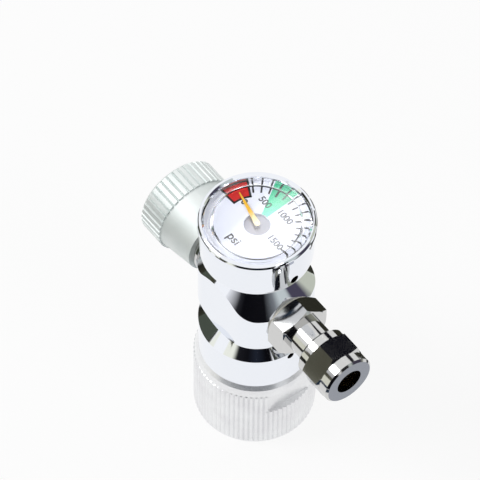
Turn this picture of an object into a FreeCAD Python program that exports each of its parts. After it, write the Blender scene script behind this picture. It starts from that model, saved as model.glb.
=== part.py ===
import FreeCAD, Part
import math
import os
import re
import Sketcher

os.makedirs("parts", exist_ok=True)

# A small brewing regulator for a carbon dioxide cylinder. A round hand nut screws on the cylinder's
# valve and turns on a stem under the plated body. The pressure gauge stands on top, the adjusting
# knob is on -X and the outlet, with its compression nut for a 6 mm tube, is on +X.
# Lengths are in millimetres, angles in degrees. Each piece is drawn about the point where the
# knob's axis crosses the upright axis, and its Placement lifts it so that z = 0 is the nut's foot.

SIZES = [
    ("block_r", 13.75, "radius of the body's block"),
    ("block_up", 3.0, "rise of the block's upper edge above the knob's axis"),
    ("block_down", 7.5, "drop of the block's lower edge below it"),
    ("flat_x", 12.35, "end flats, from the upright axis"),
    ("flat_y", 10.7, "side flats, from the upright axis"),
    ("plan_blend", 6.5, "rounding between the side flats and the block"),
    ("groove_r", 10.4, "radius at the bottom of the groove above the collar"),
    ("collar_r", 13.3, "collar's radius"),
    ("collar_tall", 9.75, "collar's straight wall"),
    ("land_r", 7.5, "flat on the top that the gauge screws down to"),
    ("port_r", 4.86, "gauge and outlet ports, 1/8 inch pipe thread"),
    ("port_deep", 5.5, "depth of the gauge port"),
    ("outlet_deep", 5.35, "depth of the outlet port"),
    ("passage_r", 1.0, "gas passage up the middle"),
    ("socket_r", 5.0, "stem's socket under the body"),
    ("socket_deep", 8.5, "its depth"),
    ("tommy_r", 0.9, "pin hole in the collar"),
    ("tommy_deep", 3.0, "its depth"),
    ("cut_over", 1.0, "what a cut reaches past the piece it cuts"),
    ("thread_end", 0.5, "what a thread stops short of its port's bottom"),
    ("stem_tall", 2.95, "gauge's hexagon"),
    ("stem_flats", 11.0, "its width across flats"),
    ("shank_r", 4.0, "gauge shank through the case"),
    ("shank_nut_r", 5.4, "block inside the case"),
    ("shank_nut_tall", 2.2, "its height"),
    ("case_low_r", 13.05, "gauge case at its foot"),
    ("case_high_r", 13.3, "gauge case under the bezel"),
    ("case_tall", 10.1, "case up to the bezel"),
    ("case_wall", 0.8, "drawn wall"),
    ("case_round", 1.6, "rounding at its foot"),
    ("vent_r", 1.1, "vent in the case wall"),
    ("vent_up", 2.7, "vent's height over the case's foot"),
    ("vent_side", 0.7, "its place along Y, as the gauge screwed up"),
    ("bezel_r", 13.5, "bezel's bead"),
    ("bezel_tall", 1.9, "its height"),
    ("bezel_round", 0.9, "its rounding"),
    ("lip_r", 12.0, "bezel's inner lip"),
    ("lens_drop", 0.25, "lens's face below the bezel's top"),
    ("lens_r", 12.45, "lens"),
    ("lens_thick", 1.0, "its thickness"),
    ("lens_flat_r", 10.3, "its flat face, inside the sloping edge"),
    ("lens_rim", 0.5, "thickness of the rim under the lip"),
    ("spacer_r", 11.95, "bore of the ring between lens and dial"),
    ("dial_r", 12.3, "dial plate"),
    ("dial_thick", 0.5, "its thickness"),
    ("dial_hole", 3.05, "hole in its middle"),
    ("backing_r", 5.0, "plate under the dial"),
    ("backing_thick", 0.4, "its thickness"),
    ("dial_drop", 2.55, "dial's face below the bezel's top"),
    ("zero_angle", 168.0, "pointer at rest, from +X towards +Y"),
    ("pointer_reach", 9.5, "pointer's length"),
    ("pointer_root", 0.9, "half width at its root"),
    ("pointer_tip", 0.18, "half width at the tip"),
    ("pointer_thick", 0.2, "its thickness"),
    ("pointer_lift", 0.25, "its height above the dial"),
    ("arbor_r", 0.45, "pinion's arbor"),
    ("gear_module", 0.2, "movement's gears"),
    ("pinion_teeth", 10, "teeth"),
    ("sector_teeth", 40, "teeth if the sector were a full wheel"),
    ("sector_cut", 8, "teeth cut on the sector"),
    ("gap_deep", 1.2, "depth of a tooth gap below the pitch circle, in modules"),
    ("gap_over", 1.6, "its reach past the pitch circle, in modules"),
    ("gear_slack", 0.12, "share of a tooth left free"),
    ("gear_thick", 0.6, "thickness"),
    ("plate_thick", 0.5, "movement plates"),
    ("plate_half", 3.4, "half their width"),
    ("plate_over", 1.2, "what they reach past the sector's pivot"),
    ("plate_room", 3.2, "between the plates"),
    ("pivot_r", 0.35, "pivots in the plates"),
    ("pivot_play", 0.03, "their clearance"),
    ("pillar_r", 0.6, "pillars"),
    ("tail_reach", 2.6, "sector's tail"),
    ("link_half", 0.45, "half width of the link"),
    ("link_thick", 0.35, "its thickness"),
    ("hair_lift", 0.3, "hairspring's height over the gears"),
    ("hair_r", 0.75, "its inner turn"),
    ("hair_pitch", 0.42, "step of its turns"),
    ("hair_turns", 4, "turns"),
    ("hair_wire", 0.1, "its thickness"),
    ("hair_tall", 0.35, "its height"),
    ("tube_r", 9.6, "Bourdon tube's circle"),
    ("tube_half", 0.6, "half its thickness"),
    ("tube_tall", 3.0, "its height"),
    ("tube_wall", 0.2, "its wall"),
    ("tube_lift", 0.4, "its clearance over the case's floor"),
    ("arm_wide", 2.6, "socket arm that holds it"),
    ("arm_edge", 0.5, "what the arm stands out past it"),
    ("tube_sweep", 250, "its arc"),
    ("tube_start", -160, "where it leaves its socket"),
    ("tip_long", 1.4, "its end cap"),
    ("post_r", 0.9, "posts under the dial"),
    ("post_off", 2.2, "their distance from the middle"),
    ("neck_r", 7.2, "bonnet's thread in the body"),
    ("neck_seat", 4.0, "its depth in the body"),
    ("flange_r", 7.9, "bonnet's flange"),
    ("flange_thick", 0.7, "its thickness"),
    ("bonnet_r", 6.95, "bonnet's tube"),
    ("bonnet_long", 14.0, "tube beyond the flange"),
    ("bonnet_end", 2.0, "its end wall"),
    ("bonnet_bore", 5.6, "its bore"),
    ("key_half", 0.8, "half the key's width"),
    ("key_high", 0.6, "its height"),
    ("key_play", 0.1, "its clearance"),
    ("piston_bore", 5.5, "piston's bore in the body"),
    ("slide_play", 0.05, "running clearance of sliding pieces"),
    ("turn_play", 0.06, "running clearance of turning pieces"),
    ("chamber_x", 5.3, "bottom of the low-pressure chamber, from the upright axis"),
    ("seat_r", 3.2, "valve seat"),
    ("seat_thick", 2.0, "its thickness"),
    ("seat_hole", 1.1, "its hole"),
    ("valve_r", 2.6, "valve's chamber"),
    ("valve_deep", 7.0, "its depth"),
    ("channel_r", 0.6, "channel to the outlet"),
    ("channel_off", 4.2, "its distance from the axis"),
    ("piston_gap", 0.6, "piston's travel room"),
    ("piston_long", 4.3, "piston's head"),
    ("pilot_r", 2.8, "its spring pilot"),
    ("pilot_long", 1.6, "pilot's length"),
    ("pin_r", 0.6, "valve pin"),
    ("pin_gap", 0.05, "from the pin to the poppet"),
    ("ring_wire", 0.8, "piston ring's section"),
    ("poppet_r", 1.9, "poppet's head"),
    ("poppet_thick", 1.2, "its thickness"),
    ("poppet_stem", 0.85, "its tail"),
    ("poppet_tail", 2.0, "tail's length"),
    ("disc_r", 1.6, "poppet's soft disc"),
    ("disc_thick", 0.5, "its thickness"),
    ("shaft_r", 2.4, "adjusting screw"),
    ("washer_r", 4.6, "thrust washer"),
    ("washer_thick", 0.5, "its thickness"),
    ("screw_head_r", 4.2, "screw's collar"),
    ("screw_head", 1.3, "its thickness"),
    ("screw_long", 6.2, "its thread inside the bonnet"),
    ("screw_out", 2.0, "how far it goes into the knob"),
    ("nut_start", 0.2, "spring seat's clearance from the collar at rest"),
    ("seat_nut", 3.0, "spring seat's thickness"),
    ("spring_r", 4.2, "main spring's mean radius"),
    ("spring_wire", 1.1, "its wire"),
    ("spring_turns", 4, "its turns"),
    ("spring_play", 0.15, "from a spring's end to its seat"),
    ("small_r", 1.55, "poppet spring's mean radius"),
    ("small_wire", 0.3, "its wire"),
    ("small_turns", 5, "its turns"),
    ("knob_gap", 1.9, "from the body's flat to the knob"),
    ("knob_low_r", 8.6, "knob at its foot"),
    ("knob_high_r", 9.9, "knob under the band"),
    ("knob_taper", 9.15, "length of the taper"),
    ("band_r", 10.4, "knurled band"),
    ("band_chamfer", 0.6, "its end"),
    ("band_lands", 40, "its lands"),
    ("land_cut", 0.5, "depth of its grooves"),
    ("land_gap", 0.42, "groove's share of the pitch"),
    ("knob_clear", 0.3, "from the bonnet's end to the knob's end wall"),
    ("knob_wall", 3.3, "that wall"),
    ("recess_r", 3.0, "recess for the knob's screw"),
    ("recess_deep", 1.2, "its depth"),
    ("knob_screw_r", 2.2, "screw head"),
    ("knob_screw_tall", 0.96, "its height"),
    ("driver_flats", 2.2, "hexagon socket in the head"),
    ("driver_deep", 0.6, "its depth"),
    ("knob_thread_r", 0.9, "screw's thread"),
    ("knob_thread", 2.4, "its length"),
    ("outlet_flats", 12.6, "both hexagons of the outlet"),
    ("outlet_seal", 0.5, "seal under the nipple"),
    ("seal_r", 6.0, "its radius"),
    ("hex_long", 5.05, "nipple's hexagon"),
    ("hex_turn", 21.8, "its rotation about the axis"),
    ("outlet_neck_r", 4.6, "threaded neck"),
    ("outlet_neck", 10.6, "its length"),
    ("outlet_bore", 2.0, "gas bore"),
    ("tube_socket_r", 3.1, "socket for the tube"),
    ("tube_socket", 6.5, "its depth"),
    ("mouth_r", 3.9, "cone for the ferrule"),
    ("mouth_deep", 0.9, "its depth"),
    ("comp_start", 5.6, "bare neck between the hexagon and the compression nut"),
    ("comp_round_r", 6.3, "its round back"),
    ("comp_round", 2.5, "length of that"),
    ("comp_hex", 5.7, "its hexagon"),
    ("comp_turn", 49.0, "its rotation about the axis"),
    ("comp_nose_r", 6.4, "its nose"),
    ("comp_nose", 2.8, "nose's length"),
    ("comp_edge", 0.5, "chamfers"),
    ("comp_hole", 3.29, "hole for the tube"),
    ("comp_wall", 2.6, "wall round that hole"),
    ("ferrule_r", 3.95, "ferrule"),
    ("ferrule_in", 3.12, "its bore"),
    ("ferrule_flat", 1.0, "its straight part"),
    ("nut_gap", 0.3, "collar to nut"),
    ("nut_tall", 21.9, "hand nut"),
    ("nut_swell", 1.05, "how far the shoulder draws in at its top edge"),
    ("nut_shoulder_r", 14.2, "shoulder over the knurl"),
    ("nut_shoulder", 3.3, "shoulder's height"),
    ("nut_r", 14.4, "knurl's radius"),
    ("nut_foot_r", 14.05, "its foot"),
    ("nut_foot", 0.5, "chamfer there"),
    ("nut_ridges", 75, "ridges"),
    ("ridge_cut", 0.38, "their depth"),
    ("ridge_gap", 0.8, "groove's share of the pitch"),
    ("wrench_x", 12.85, "wrench flats, from the axis"),
    ("wrench_tall", 6.3, "their height"),
    ("valve_thread_r", 10.9, "thread for a W21.8 cylinder valve"),
    ("valve_thread", 11.6, "its length"),
    ("relief_r", 11.4, "relief above the thread"),
    ("relief_tall", 4.4, "its height"),
    ("stem_r", 6.0, "inlet stem in the nut"),
    ("stem_play", 0.1, "its clearance"),
    ("stem_head_r", 9.0, "its head"),
    ("stem_head", 2.2, "head's thickness"),
    ("head_gap", 0.2, "from the head to the nut's web"),
    ("stem_nose_r", 3.4, "nose through the washer"),
    ("stem_nose", 1.7, "its length"),
    ("stem_bore", 1.5, "gas bore"),
    ("inlet_washer_r", 8.6, "nylon washer"),
    ("inlet_washer", 1.7, "its thickness"),
    ("filter_r", 2.3, "sintered filter"),
    ("filter_thick", 2.0, "its thickness"),
]

doc = FreeCAD.newDocument("carbon_dioxide_regulator")
size = doc.addObject("Spreadsheet::Sheet", "size")
for row, (alias, number, meaning) in enumerate(SIZES, 1):
    size.set(f"A{row}", meaning)
    size.set(f"B{row}", str(number))
    size.setAlias(f"B{row}", alias)
doc.recompute()

# Places along the upright axis, from the knob's axis.
GROOVE_Z = "(0 - block_down - block_r + groove_r)"
COLLAR_TOP = f"({GROOVE_Z} - collar_r + groove_r)"
COLLAR_END = f"({COLLAR_TOP} - collar_tall)"
SOCKET_TOP = f"({COLLAR_END} + socket_deep)"
LAND_Z = "(block_up + block_r - land_r)"
PORT_END = f"({LAND_Z} - port_deep)"
CASE_Z = f"({LAND_Z} + stem_tall)"
BEZEL_Z = f"({CASE_Z} + case_tall)"
GAUGE_TOP = f"({BEZEL_Z} + bezel_tall)"
LENS_TOP = f"({GAUGE_TOP} - lens_drop)"
LENS_LOW = f"({LENS_TOP} - lens_thick)"
RIM_TOP = f"({LENS_LOW} + lens_rim)"
DIAL_TOP = f"({GAUGE_TOP} - dial_drop)"
DIAL_LOW = f"({DIAL_TOP} - dial_thick)"
BACKING_LOW = f"({DIAL_LOW} - backing_thick)"
FLOOR_Z = f"({CASE_Z} + case_wall)"
BLOCK_TOP = f"({FLOOR_Z} + shank_nut_tall)"
UPPER_PLATE = f"({BLOCK_TOP} + plate_thick + plate_room)"
GEAR_Z = f"({BLOCK_TOP} + plate_thick + 0.5 * plate_room - 0.5 * gear_thick)"
TUBE_Z = f"({FLOOR_Z} + tube_lift + 0.5 * tube_tall)"
NUT_TOP = f"({COLLAR_END} - nut_gap)"
NUT_END = f"({NUT_TOP} - nut_tall)"
KNURL_TOP = f"({NUT_TOP} - nut_shoulder)"
WEB_LOW = f"({NUT_END} + valve_thread + relief_tall)"
HEAD_TOP = f"({WEB_LOW} - head_gap)"
HEAD_LOW = f"({HEAD_TOP} - stem_head)"

# Places along the knob's axis.
BONNET_IN = "(neck_seat - flat_x)"
FLANGE_X = "(0 - flat_x - flange_thick)"
BONNET_X = f"({FLANGE_X} - bonnet_long)"
WALL_X = f"({BONNET_X} + bonnet_end)"
WASHER_X = f"({WALL_X} + washer_thick)"
HEAD_X = f"({WASHER_X} + screw_head)"
NUT_X = f"({HEAD_X} + nut_start + seat_nut)"
PISTON_X = "(0 - chamber_x - piston_gap)"
PISTON_BACK = f"({PISTON_X} - piston_long)"
SEAT_X = "(seat_thick - chamber_x)"
VALVE_X = f"({SEAT_X} + valve_deep)"
KNOB_X = "(0 - flat_x - knob_gap)"
BAND_X = f"({KNOB_X} - knob_taper)"
KNOB_WALL = f"({BONNET_X} - knob_clear)"
KNOB_END = f"({KNOB_WALL} - knob_wall)"
RECESS_X = f"({KNOB_END} + recess_deep)"
SCREW_X = f"({KNOB_WALL} - screw_out)"
PORT_X = "(flat_x - outlet_deep)"
HEX_X = "(flat_x + outlet_seal)"
NECK_X = f"({HEX_X} + hex_long)"
NECK_END = f"({NECK_X} + outlet_neck)"
COMP_X = f"({NECK_X} + comp_start)"
COMP_HEX_X = f"({COMP_X} + comp_round)"
NOSE_X = f"({COMP_HEX_X} + comp_hex)"
OUTLET_END = f"({NOSE_X} + comp_nose)"

PINION_R = "(0.5 * gear_module * pinion_teeth)"
SECTOR_R = "(0.5 * gear_module * sector_teeth)"
SPREAD = f"({PINION_R} + {SECTOR_R})"
LIFT = f"(0 - {NUT_END})"


def cells(text):
    """The expression with each size's name turned into its cell's name."""
    return re.sub(r"\b([a-z]+(?:_[a-z]+)+)\b", r"size.\1", str(text))


def value(text):
    return float(size.evalExpression(cells(text)))


def bind(thing, prop, text):
    thing.setExpression(prop, cells(text))


def plane(body, role):
    return next(item for item in body.Origin.OriginFeatures if item.Role == role)


def new_body(name):
    body = doc.addObject("PartDesign::Body", name)
    body.Label = name
    bind(body, "Placement.Base.z", LIFT)
    return body


def new_sketch(body, role, shift="0"):
    """A sketch on one of the body's own planes, moved along that plane's normal."""
    sketch = body.newObject("Sketcher::SketchObject", body.Name + "_sketch")
    sketch.AttachmentSupport = [(plane(body, role), "")]
    sketch.MapMode = "FlatFace"
    bind(sketch, "AttachmentOffset.Base.z", shift)
    return sketch


def outline(sketch, corners):
    """A closed outline. A corner is (x, y), or (x, y, radius, side) where an arc ends: side is 1 for
    an arc that runs anticlockwise to it and -1 for a clockwise one."""
    spots = [FreeCAD.Vector(value(corner[0]), value(corner[1]), 0) for corner in corners]
    edges = []
    for index, corner in enumerate(corners):
        start, stop = spots[index - 1], spots[index]
        if len(corner) == 2:
            edges.append((sketch.addGeometry(Part.LineSegment(start, stop), False), 1, 2))
            continue
        radius, side = value(corner[2]), corner[3]
        chord = stop - start
        rise = math.sqrt(max(radius ** 2 - (chord.Length / 2) ** 2, 0))
        normal = FreeCAD.Vector(-chord.y, chord.x, 0) / chord.Length
        centre = (start + stop) / 2 + normal * rise * side
        turns = [math.atan2(spot.y - centre.y, spot.x - centre.x) for spot in (start, stop)]
        circle = Part.Circle(centre, FreeCAD.Vector(0, 0, 1), radius)
        edge = sketch.addGeometry(Part.ArcOfCircle(circle, *turns[::side]), False)
        edges.append((edge, 1, 2) if side > 0 else (edge, 2, 1))
        rule = sketch.addConstraint(Sketcher.Constraint("Radius", edge, radius))
        bind(sketch, f"Constraints[{rule}]", corner[2])
    for index, (edge, _, end) in enumerate(edges):
        following, begin, _ = edges[(index + 1) % len(edges)]
        sketch.addConstraint(Sketcher.Constraint("Coincident", edge, end, following, begin))
        for kind, text, number in (("DistanceX", corners[index][0], spots[index].x),
                                   ("DistanceY", corners[index][1], spots[index].y)):
            rule = sketch.addConstraint(Sketcher.Constraint(kind, edge, end, number))
            bind(sketch, f"Constraints[{rule}]", text)


def circle(sketch, across, up, radius):
    centre = FreeCAD.Vector(value(across), value(up), 0)
    edge = sketch.addGeometry(Part.Circle(centre, FreeCAD.Vector(0, 0, 1), value(radius)), False)
    for kind, text, spot in (("DistanceX", across, centre.x), ("DistanceY", up, centre.y)):
        rule = sketch.addConstraint(Sketcher.Constraint(kind, edge, 3, spot))
        bind(sketch, f"Constraints[{rule}]", text)
    rule = sketch.addConstraint(Sketcher.Constraint("Radius", edge, value(radius)))
    bind(sketch, f"Constraints[{rule}]", radius)


def rounded(across, up, radius, first, last, steps):
    """Points of a round corner about a centre, joined by short flats so that it meshes lightly."""
    points = []
    for step in range(steps + 1):
        angle = first + (last - first) * step / steps
        points.append((f"{across} + {radius} * cos({angle})", f"{up} + {radius} * sin({angle})"))
    return points


def turn(body, axis, corners, cut=False, angle="360"):
    """Turns an outline about the upright axis (corners are radius, height) or about the knob's axis
    (corners are x, radius), as material or as a bore."""
    kind = "PartDesign::Groove" if cut else "PartDesign::Revolution"
    before = body.Shape.Volume if cut else 0
    sketch = new_sketch(body, "XZ_Plane")
    outline(sketch, corners)
    feature = body.newObject(kind, body.Name + "_turned")
    feature.Profile = sketch
    feature.ReferenceAxis = (sketch, ["V_Axis" if axis == "upright" else "H_Axis"])
    bind(feature, "Angle", angle)
    finish(body, feature, before, cut)
    return feature


def pad(body, role, shift, length, draw):
    sketch = new_sketch(body, role, shift)
    draw(sketch)
    feature = body.newObject("PartDesign::Pad", body.Name + "_pad")
    feature.Profile = sketch
    bind(feature, "Length", length)
    finish(body, feature, 0, False)
    return feature


def pocket(body, role, shift, length, draw):
    """Cuts from the sketch's plane back against its normal."""
    before = body.Shape.Volume
    sketch = new_sketch(body, role, shift)
    draw(sketch)
    feature = body.newObject("PartDesign::Pocket", body.Name + "_pocket")
    feature.Profile = sketch
    feature.Type = "Length"
    bind(feature, "Length", length)
    finish(body, feature, before, True)
    return feature


def repeat(body, feature, axis, count, angle="360"):
    pattern = body.newObject("PartDesign::PolarPattern", body.Name + "_pattern")
    pattern.Originals = [feature]
    pattern.Axis = (plane(body, axis), [""])
    bind(pattern, "Angle", angle)
    bind(pattern, "Occurrences", count)
    before = body.Shape.Volume
    finish(body, pattern, before, True)


def finish(body, feature, before, cut):
    body.Tip = feature
    doc.recompute()
    if cut and body.Shape.Volume > before - 1e-6:
        raise RuntimeError(f"{feature.Name} cut nothing")


def turned_box(angle, near, far, low, high):
    """Corners of a rectangle whose length points away from the axis at an angle."""
    corners = []
    for reach, across in ((near, low), (far, low), (far, high), (near, high)):
        corners.append((f"({reach}) * cos({angle}) - ({across}) * sin({angle})",
                        f"({reach}) * sin({angle}) + ({across}) * cos({angle})"))
    return corners


def hexagon(sketch, flats, angle):
    corners = []
    for index in range(6):
        reach = f"{flats} / sqrt(3)"
        corners.append((f"{reach} * cos({angle} + {60 * index})", f"{reach} * sin({angle} + {60 * index})"))
    outline(sketch, corners)


def hexed(body, role, shift, length, flats, angle, blank):
    """Six flats on a turned blank."""
    def draw(sketch):
        circle(sketch, "0", "0", blank)
        hexagon(sketch, flats, angle)
    pocket(body, role, shift, length, draw)


def make_body():
    """Plated brass block: a turned blank with side and end flats, bored from four sides."""
    body = new_body("body")
    turn(body, "upright", [
        ("passage_r", SOCKET_TOP), ("socket_r", SOCKET_TOP), ("socket_r", COLLAR_END),
        ("collar_r", COLLAR_END), ("collar_r", COLLAR_TOP), ("groove_r", GROOVE_Z),
        ("block_r", "0 - block_down"), ("block_r", "block_up"), ("land_r", LAND_Z),
        ("port_r", LAND_Z), ("port_r", PORT_END), ("passage_r", PORT_END)])

    run = "sqrt((block_r - plan_blend)^2 - (flat_y - plan_blend)^2)"
    grow = "block_r / (block_r - plan_blend)"
    half = "sqrt(block_r^2 - flat_x^2)"
    corner = (f"{run} * {grow}", f"(flat_y - plan_blend) * {grow}")

    def plan(sketch):
        circle(sketch, "0", "0", "block_r + collar_r")
        outline(sketch, [
            ("flat_x", half), (*corner, "block_r", 1),
            (run, "flat_y", "plan_blend", 1), (f"0 - {run}", "flat_y"),
            (f"0 - {corner[0]}", corner[1], "plan_blend", 1), ("0 - flat_x", half, "block_r", 1),
            ("0 - flat_x", f"0 - {half}"), (f"0 - {corner[0]}", f"0 - {corner[1]}", "block_r", 1),
            (f"0 - {run}", "0 - flat_y", "plan_blend", 1), (run, "0 - flat_y"),
            (corner[0], f"0 - {corner[1]}", "plan_blend", 1), ("flat_x", f"0 - {half}", "block_r", 1)])
    pocket(body, "XY_Plane", LAND_Z, f"{LAND_Z} - {GROOVE_Z}", plan)

    turn(body, "knob", [
        ("0 - block_r", "0"), ("0 - block_r", "neck_r"), (BONNET_IN, "neck_r"),
        (BONNET_IN, "piston_bore"), ("0 - chamber_x", "piston_bore"), ("0 - chamber_x", "seat_r"),
        (SEAT_X, "seat_r"), (SEAT_X, "valve_r"), (VALVE_X, "valve_r"), (VALVE_X, "0")], cut=True)
    turn(body, "knob", [("block_r", "0"), (PORT_X, "0"), (PORT_X, "port_r"), ("block_r", "port_r")], cut=True)
    pocket(body, "YZ_Plane", PORT_X, f"{PORT_X} + chamber_x",
           lambda sketch: circle(sketch, "channel_off", "0", "channel_r"))
    pocket(body, "YZ_Plane", "block_r", "block_r - collar_r + tommy_deep",
           lambda sketch: circle(sketch, "0", f"{COLLAR_TOP} - 1.1 * tommy_r", "tommy_r"))
    return body


def make_gauge():
    """Case, bezel, lens, dial and the shank that carries them."""
    shank = new_body("gauge_shank")
    turn(shank, "upright", [
        ("outlet_bore / 2", f"{PORT_END} + thread_end"), ("port_r", f"{PORT_END} + thread_end"),
        ("port_r", LAND_Z), ("land_r", LAND_Z), ("land_r", CASE_Z), ("shank_r", CASE_Z),
        ("shank_r", FLOOR_Z), ("shank_nut_r", FLOOR_Z), ("shank_nut_r", BLOCK_TOP),
        ("outlet_bore / 2", BLOCK_TOP)])
    hexed(shank, "XY_Plane", CASE_Z, "stem_tall", "stem_flats", "15", "land_r + cut_over")
    pad(shank, "XY_Plane", FLOOR_Z, "shank_nut_tall", lambda sketch: outline(sketch, turned_box(
        "tube_start", "0.8 * shank_nut_r", "tube_r + tube_half + arm_edge", "0", "arm_wide")))

    seal = new_body("gauge_seal")
    turn(seal, "upright", [
        ("passage_r", PORT_END), ("port_r", PORT_END), ("port_r", f"{PORT_END} + thread_end"),
        ("passage_r", f"{PORT_END} + thread_end")])

    case = new_body("gauge_case")
    turn(case, "upright", [
        ("shank_r", CASE_Z),
        *rounded("case_low_r - case_round", f"{CASE_Z} + case_round", "case_round", -90, 0, 4),
        ("case_high_r", BEZEL_Z), ("case_high_r - case_wall", BEZEL_Z),
        *rounded("case_low_r - case_round", f"{CASE_Z} + case_round", "(case_round - case_wall)", 0, -90, 1),
        ("shank_r", FLOOR_Z)])
    pocket(case, "YZ_Plane", "case_high_r", "case_high_r - case_low_r + 2 * case_wall",
           lambda sketch: circle(sketch, "vent_side", f"{CASE_Z} + vent_up", "vent_r"))

    bezel = new_body("gauge_bezel")
    turn(bezel, "upright", [
        ("lens_r", BEZEL_Z), ("bezel_r", BEZEL_Z),
        *rounded("bezel_r - bezel_round", f"{GAUGE_TOP} - bezel_round", "bezel_round", 0, 90, 5),
        ("lip_r", RIM_TOP), ("lens_r", RIM_TOP)])

    lens = new_body("gauge_lens")
    turn(lens, "upright", [
        ("0", LENS_LOW), ("lens_r", LENS_LOW), ("lens_r", RIM_TOP), ("lip_r", RIM_TOP),
        ("lens_flat_r", LENS_TOP), ("0", LENS_TOP)])

    spacer = new_body("gauge_spacer")
    turn(spacer, "upright", [("spacer_r", DIAL_TOP), ("lens_r", DIAL_TOP), ("lens_r", LENS_LOW),
                             ("spacer_r", LENS_LOW)])

    dial = new_body("gauge_dial")
    turn(dial, "upright", [("dial_hole", DIAL_LOW), ("dial_r", DIAL_LOW), ("dial_r", DIAL_TOP),
                           ("dial_hole", DIAL_TOP)])

    backing = new_body("dial_backing")
    arbor_hole = "(pivot_r + pivot_play)"
    turn(backing, "upright", [(arbor_hole, BACKING_LOW), ("backing_r", BACKING_LOW), ("backing_r", DIAL_LOW),
                              (arbor_hole, DIAL_LOW)])


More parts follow.
